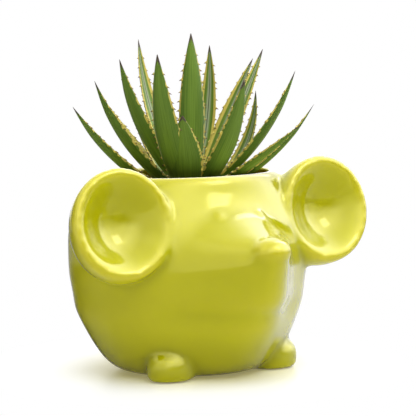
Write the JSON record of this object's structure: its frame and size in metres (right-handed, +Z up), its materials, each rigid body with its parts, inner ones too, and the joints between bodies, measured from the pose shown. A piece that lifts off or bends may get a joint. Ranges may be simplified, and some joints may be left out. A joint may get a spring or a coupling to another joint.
{
  "type": "animal planter",
  "caption": "Glazed ceramic mouse-shaped planter with round cup ears and small feet, potted with a variegated agave that lifts out with its root ball.",
  "frame": {"origin": "centre of the drain hole where it leaves the base, on the plane the planter stands on", "axes": "+Z up; the mouse faces -Y; its left side, with ear_left, is +X"},
  "size_m": [0.173, 0.1283, 0.166],
  "materials": {
    "lime_glaze": "gloss",
    "mesh_plastic": "matt",
    "gravel": "rough",
    "potting_soil": "rough",
    "root_soil": "rough",
    "plant": "waxy"
  },
  "bodies": {
    "planter": {"pot_shell": "lime_glaze", "ear_left": "lime_glaze", "ear_right": "lime_glaze", "nose": "lime_glaze", "eye_left": "lime_glaze", "eye_right": "lime_glaze", "foot_left": "lime_glaze", "foot_right": "lime_glaze", "drain_mesh": "mesh_plastic", "drainage_gravel": "gravel", "potting_mix": "potting_soil"},
    "plant": {"root_ball": "root_soil", "agave_crown": "plant", "leaf_01": "plant", "leaf_02": "plant", "leaf_03": "plant", "leaf_04": "plant", "leaf_05": "plant", "leaf_06": "plant", "leaf_07": "plant", "leaf_08": "plant", "leaf_09": "plant", "leaf_10": "plant", "leaf_11": "plant", "leaf_12": "plant", "leaf_13": "plant", "leaf_14": "plant", "leaf_15": "plant", "leaf_16": "plant", "leaf_17": "plant", "leaf_18": "plant", "leaf_19": "plant", "leaf_20": "plant"}
  },
  "joints": [
    {"name": "plant_lift", "type": "slide", "parent": "planter", "child": "plant", "axis": [0, 0, 1], "range_m": [0, 0.09]}
  ]
}
